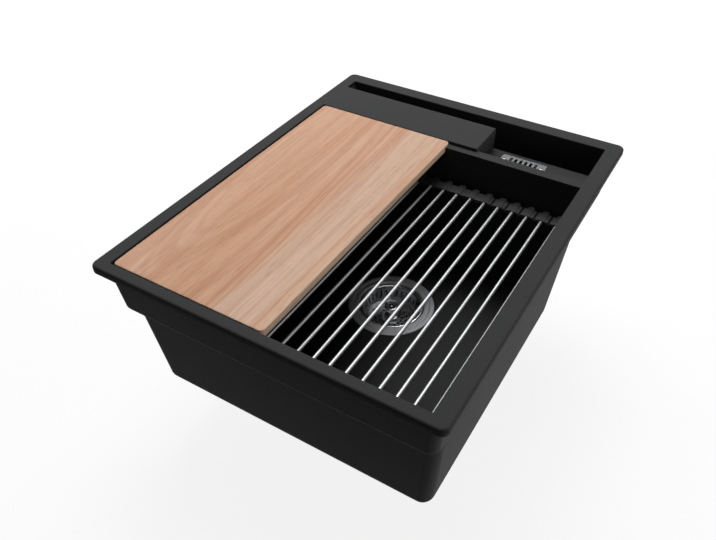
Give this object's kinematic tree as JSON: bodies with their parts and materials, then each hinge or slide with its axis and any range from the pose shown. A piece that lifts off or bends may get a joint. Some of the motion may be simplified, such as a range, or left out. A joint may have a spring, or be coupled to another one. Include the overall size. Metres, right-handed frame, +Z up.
{
  "type": "workstation kitchen sink",
  "caption": "Inset composite kitchen sink with a sliding wooden board, a roll-up rod rack, a basket waste, a soap tray and a rear channel.",
  "frame": {"origin": "middle of the rim's underside, where it rests on the worktop", "axes": "+X to the right seen from the front, +Y to the back, +Z up out of the bowl"},
  "size_m": [0.4, 0.51, 0.256],
  "materials": {
    "composite": "matt granite composite",
    "board_wood": "oiled",
    "rod_steel": "satin",
    "strip_silicone": "matt",
    "waste_steel": "satin",
    "basket_steel": "satin",
    "grille_steel": "satin",
    "screw_steel": "turned",
    "waste_plastic": "moulded",
    "seal_rubber": "matt"
  },
  "bodies": {
    "basin": {"basin": "composite", "waste_flange": "waste_steel", "flange_gasket": "seal_rubber", "bowl_seal": "seal_rubber", "waste_body": "waste_plastic", "fixing_screw": "screw_steel", "overflow_grille": "grille_steel", "overflow_seal": "seal_rubber", "overflow_body": "waste_plastic", "grille_screw_left": "screw_steel", "grille_screw_right": "screw_steel"},
    "board": {"cutting_board": "board_wood"},
    "rack": {"rack_rod_1": "rod_steel", "rack_rod_2": "rod_steel", "rack_rod_3": "rod_steel", "rack_rod_4": "rod_steel", "rack_rod_5": "rod_steel", "rack_rod_6": "rod_steel", "rack_rod_7": "rod_steel", "rack_rod_8": "rod_steel", "rack_strip_front": "strip_silicone", "rack_strip_rear": "strip_silicone"},
    "link_1": {"rack_rod_9": "rod_steel", "link_cap_front_1": "strip_silicone", "link_cap_rear_1": "strip_silicone"},
    "link_2": {"rack_rod_10": "rod_steel", "link_cap_front_2": "strip_silicone", "link_cap_rear_2": "strip_silicone"},
    "link_3": {"rack_rod_11": "rod_steel", "link_cap_front_3": "strip_silicone", "link_cap_rear_3": "strip_silicone"},
    "link_4": {"rack_rod_12": "rod_steel", "link_cap_front_4": "strip_silicone", "link_cap_rear_4": "strip_silicone"},
    "link_5": {"rack_rod_13": "rod_steel", "link_cap_front_5": "strip_silicone", "link_cap_rear_5": "strip_silicone"},
    "basket": {"basket": "basket_steel", "basket_seal": "seal_rubber", "basket_post": "basket_steel"},
    "knob": {"basket_knob": "basket_steel"}
  },
  "joints": [
    {"name": "board_slide", "type": "slide", "parent": "basin", "child": "board", "axis": [1, 0, 0], "range_m": [0, 0.171]},
    {"name": "rack_slide", "type": "slide", "parent": "basin", "child": "rack", "axis": [-1, 0, 0], "range_m": [0, 0.1]},
    {"name": "link_1_roll", "type": "hinge", "parent": "rack", "child": "link_1", "pos_m": [0.0847, 0, -0.0397], "axis": [0, -1, 0], "range_deg": [0, 58]},
    {"name": "link_2_roll", "type": "hinge", "parent": "link_1", "child": "link_2", "pos_m": [0.1031, 0, -0.0397], "axis": [0, -1, 0], "range_deg": [0, 58]},
    {"name": "link_3_roll", "type": "hinge", "parent": "link_2", "child": "link_3", "pos_m": [0.1215, 0, -0.0397], "axis": [0, -1, 0], "range_deg": [0, 58]},
    {"name": "link_4_roll", "type": "hinge", "parent": "link_3", "child": "link_4", "pos_m": [0.1399, 0, -0.0397], "axis": [0, -1, 0], "range_deg": [0, 58]},
    {"name": "link_5_roll", "type": "hinge", "parent": "link_4", "child": "link_5", "pos_m": [0.1583, 0, -0.0397], "axis": [0, -1, 0], "range_deg": [0, 58]},
    {"name": "basket_lift", "type": "slide", "parent": "basin", "child": "basket", "axis": [0, 0, 1], "range_m": [0, 0.08]},
    {"name": "knob_turn", "type": "hinge", "parent": "basket", "child": "knob", "pos_m": [0.005, 0.015, -0.165], "axis": [0, 0, 1], "continuous": true}
  ],
  "couplings": [
    {"joint": "link_2_roll", "follows": "link_1_roll", "ratio": 1},
    {"joint": "link_3_roll", "follows": "link_1_roll", "ratio": 1},
    {"joint": "link_4_roll", "follows": "link_1_roll", "ratio": 1},
    {"joint": "link_5_roll", "follows": "link_1_roll", "ratio": 1}
  ]
}
